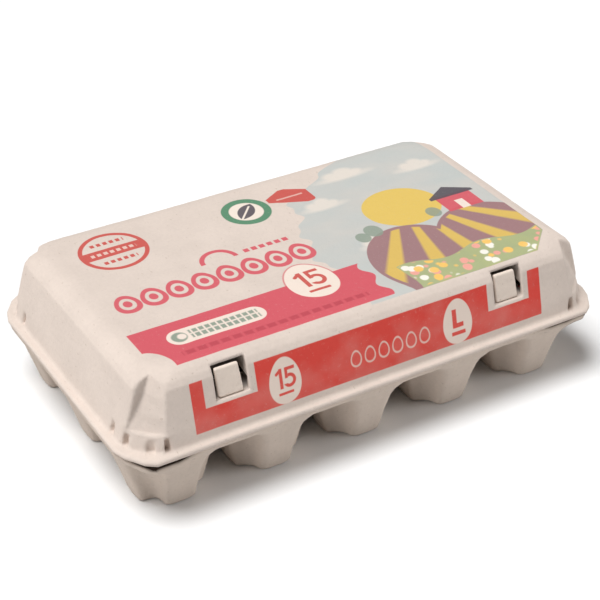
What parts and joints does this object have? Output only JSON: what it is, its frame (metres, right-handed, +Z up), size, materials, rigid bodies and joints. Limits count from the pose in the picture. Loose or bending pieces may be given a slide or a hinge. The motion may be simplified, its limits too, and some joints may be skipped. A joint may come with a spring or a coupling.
{
  "type": "egg carton of moulded pulp",
  "caption": "Shut moulded-pulp carton for eggs: printed lid with cut corners and two latch tabs, on a tray of four-lobed cups.",
  "frame": {"origin": "on the floor under the middle of the rim, level with the cups' feet", "axes": "+X along the front to the right, +Y from the latches to the back, +Z up"},
  "size_m": [0.2556, 0.154, 0.0704],
  "materials": {
    "pulp": "matt moulded pulp",
    "printed_pulp": "matt moulded pulp with matt print"
  },
  "bodies": {
    "root": {"tray": "pulp", "lid": "printed_pulp", "latch_tab_left": "pulp", "latch_tab_right": "pulp"}
  },
  "joints": []
}
